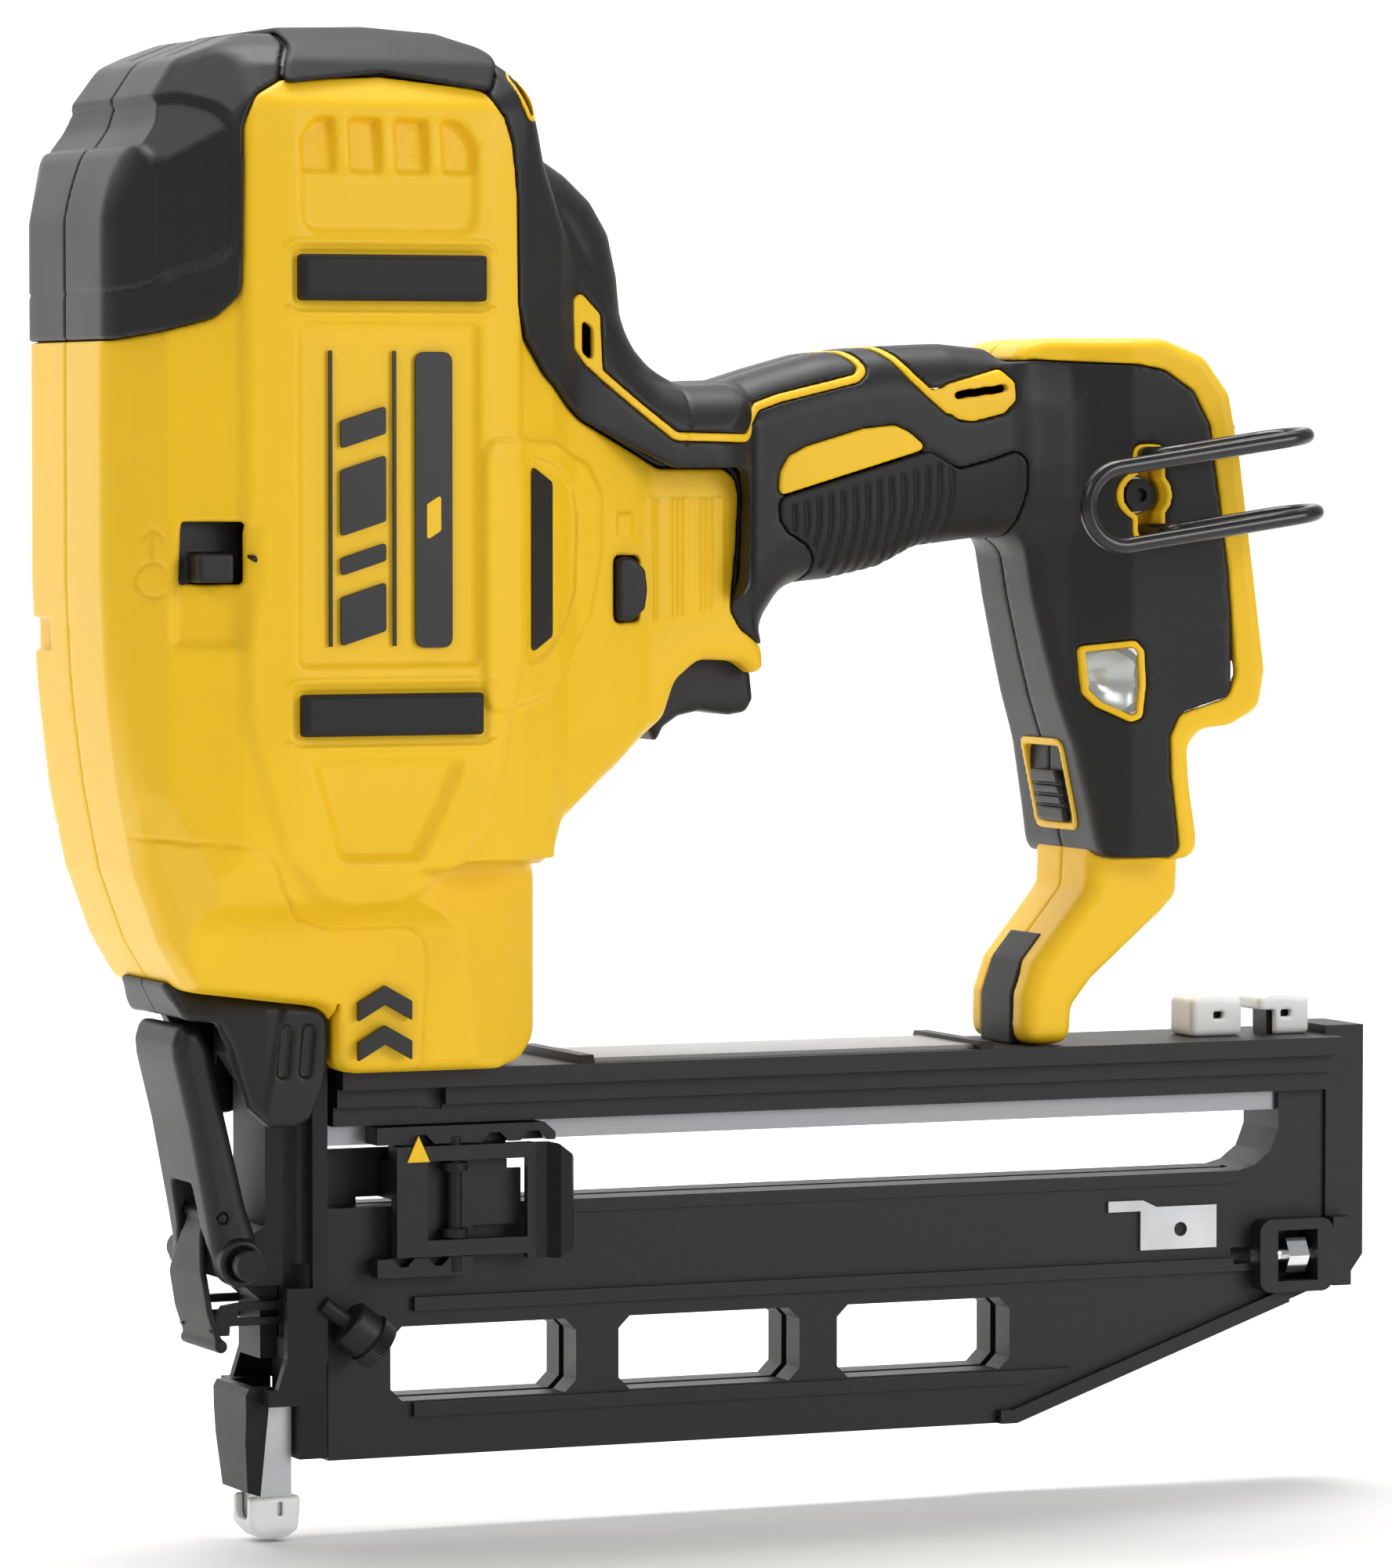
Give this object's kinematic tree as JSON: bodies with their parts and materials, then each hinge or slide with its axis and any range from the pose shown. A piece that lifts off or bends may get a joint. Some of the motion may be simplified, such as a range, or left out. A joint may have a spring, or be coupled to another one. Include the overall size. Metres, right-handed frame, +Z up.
{
  "type": "cordless finish nailer",
  "caption": "Cordless straight finish nailer with a see-through magazine, jam-clearing nose lever, contact trip, belt hook and an open rear battery slide.",
  "frame": {"origin": "centre of the nail exit hole at the no-mar tip's lower face, on the drive axis", "axes": "+X to the rear (battery side), +Y to the right-hand side, +Z up along the drive axis"},
  "size_m": [0.3055, 0.0992, 0.3232],
  "materials": {
    "yellow_plastic": "moulded glass-filled nylon, satin, slightly warm yellow",
    "black_plastic": "fine textured black moulding",
    "rubber": "matt overmoulded rubber",
    "black_steel": "black oxide and paint on steel",
    "steel": "brushed steel",
    "chrome": "bright plated fastener",
    "aluminium": "die-cast aluminium",
    "motor_iron": "laminated steel with varnished copper",
    "potting": "potted circuit board",
    "pale_polymer": "translucent white urethane",
    "clear_lens": "clear moulded lens",
    "grey_plate": "smooth grey plate"
  },
  "bodies": {
    "housing": {"left_shell": "yellow_plastic", "right_shell": "yellow_plastic", "left_cap": "black_plastic", "right_cap": "black_plastic", "left_handle": "black_plastic", "right_handle": "black_plastic", "left_rear_shell": "yellow_plastic", "right_rear_shell": "yellow_plastic", "top_bumper": "rubber", "side_pads": "rubber", "strut_strap": "rubber", "battery_dock": "black_plastic", "terminal_block": "black_plastic", "control_module": "potting", "trigger_switch": "black_plastic", "led_bezels": "yellow_plastic", "led_lenses": "clear_lens", "belt_hook": "black_steel", "hook_sockets": "steel", "housing_screws": "black_steel", "drive_frame": "aluminium", "return_rails": "steel", "return_springs": "steel", "driver_bumper": "rubber", "motor_axle": "steel", "motor_stator": "motor_iron", "pivot_pins": "steel", "solenoid": "motor_iron", "trip_spring": "steel", "nose_cover": "black_plastic", "nose_block": "black_steel", "hook_bracket": "black_steel", "magazine_top": "black_plastic", "sight_plate": "grey_plate", "magazine_channel": "black_plastic", "end_cap": "black_plastic", "steel_rail": "steel", "latch_plate": "steel", "end_bolt": "chrome"},
    "flywheel": {"flywheel": "steel"},
    "driver": {"driver": "steel"},
    "pinch_arm": {"pinch_arm": "steel"},
    "pinch_roller": {"pinch_roller": "steel"},
    "trigger": {"trigger": "black_plastic"},
    "lock_off": {"lock_off_button": "black_plastic"},
    "stall_lever": {"stall_lever": "black_plastic"},
    "mode_switch": {"mode_switch": "black_plastic"},
    "front_door": {"front_door": "black_steel", "latch_pin": "black_steel"},
    "jam_lever": {"jam_lever": "black_plastic"},
    "hook_link": {"hook_link": "black_steel"},
    "contact_trip": {"contact_trip": "black_steel", "nose_foot": "steel", "no_mar_tip": "pale_polymer"},
    "depth_wheel": {"depth_wheel": "black_plastic"},
    "pusher": {"pusher": "black_plastic", "pusher_pin": "steel"},
    "pusher_latch": {"pusher_latch": "black_plastic"},
    "spare_pad_1": {"spare_pad_1": "pale_polymer"},
    "spare_pad_2": {"spare_pad_2": "pale_polymer"}
  },
  "joints": [
    {"name": "flywheel_spin", "type": "hinge", "parent": "housing", "child": "flywheel", "pos_m": [0.0286, 0, 0.215], "axis": [0, 1, 0], "continuous": true},
    {"name": "driver_stroke", "type": "slide", "parent": "housing", "child": "driver", "axis": [0, 0, -1], "range_m": [0, 0.09], "stiffness_N_per_m": 150, "springref_m": -0.03, "deforming": ["return_springs"]},
    {"name": "pinch_arm_swing", "type": "hinge", "parent": "housing", "child": "pinch_arm", "pos_m": [-0.026, 0, 0.232], "axis": [0, -1, 0], "range_deg": [0, 2.2], "stiffness_Nm_per_rad": 2, "springref_deg": -2.86},
    {"name": "pinch_roller_spin", "type": "hinge", "parent": "pinch_arm", "child": "pinch_roller", "pos_m": [-0.0133, 0, 0.215], "axis": [0, 1, 0], "continuous": true},
    {"name": "trigger_pull", "type": "hinge", "parent": "housing", "child": "trigger", "pos_m": [0.0815, 0, 0.176], "axis": [0, -1, 0], "range_deg": [0, 12], "stiffness_Nm_per_rad": 0.5, "springref_deg": -8.59},
    {"name": "lock_off_slide", "type": "slide", "parent": "housing", "child": "lock_off", "axis": [0, 1, 0], "range_m": [0, 0.006]},
    {"name": "stall_release", "type": "slide", "parent": "housing", "child": "stall_lever", "axis": [0, 0, 1], "range_m": [0, 0.005], "stiffness_N_per_m": 300, "springref_m": -0.003},
    {"name": "mode_select", "type": "slide", "parent": "housing", "child": "mode_switch", "axis": [0, 0, 1], "range_m": [0, 0.005]},
    {"name": "jam_lever_open", "type": "hinge", "parent": "front_door", "child": "jam_lever", "pos_m": [-0.0125, 0, 0.061], "axis": [0, -1, 0], "range_deg": [0, 100]},
    {"name": "front_door_swing", "type": "hinge", "parent": "housing", "child": "front_door", "pos_m": [-0.006, 0, 0.107], "axis": [0, 1, 0], "range_deg": [0, 25]},
    {"name": "hook_link_swing", "type": "hinge", "parent": "jam_lever", "child": "hook_link", "pos_m": [-0.016, 0, 0.0705], "axis": [0, -1, 0], "range_deg": [-100, 0]},
    {"name": "contact_trip_press", "type": "slide", "parent": "housing", "child": "contact_trip", "axis": [0, 0, 1], "range_m": [0, 0.007], "stiffness_N_per_m": 600, "springref_m": -0.015, "deforming": ["trip_spring"]},
    {"name": "depth_wheel_turn", "type": "hinge", "parent": "contact_trip", "child": "depth_wheel", "pos_m": [0.0115, -0.0154, 0.04748], "axis": [0.8, 0, -0.6], "continuous": true},
    {"name": "pusher_slide", "type": "slide", "parent": "housing", "child": "pusher", "axis": [1, 0, 0], "range_m": [0, 0.15], "stiffness_N_per_m": 15, "springref_m": -0.25},
    {"name": "pusher_latch_press", "type": "hinge", "parent": "pusher", "child": "pusher_latch", "pos_m": [0.037, -0.0129, 0.0725], "axis": [0, 0, 1], "range_deg": [0, 5], "stiffness_Nm_per_rad": 0.3, "springref_deg": -5.73},
    {"name": "spare_pad_1_lift", "type": "slide", "parent": "housing", "child": "spare_pad_1", "axis": [0, 0, 1], "range_m": [0, 0.012]},
    {"name": "spare_pad_2_lift", "type": "slide", "parent": "housing", "child": "spare_pad_2", "axis": [0, 0, 1], "range_m": [0, 0.012]}
  ],
  "couplings": [
    {"joint": "hook_link_swing", "follows": "jam_lever_open", "ratio": -1},
    {"joint": "front_door_swing", "follows": "jam_lever_open", "ratio": 0.25}
  ]
}
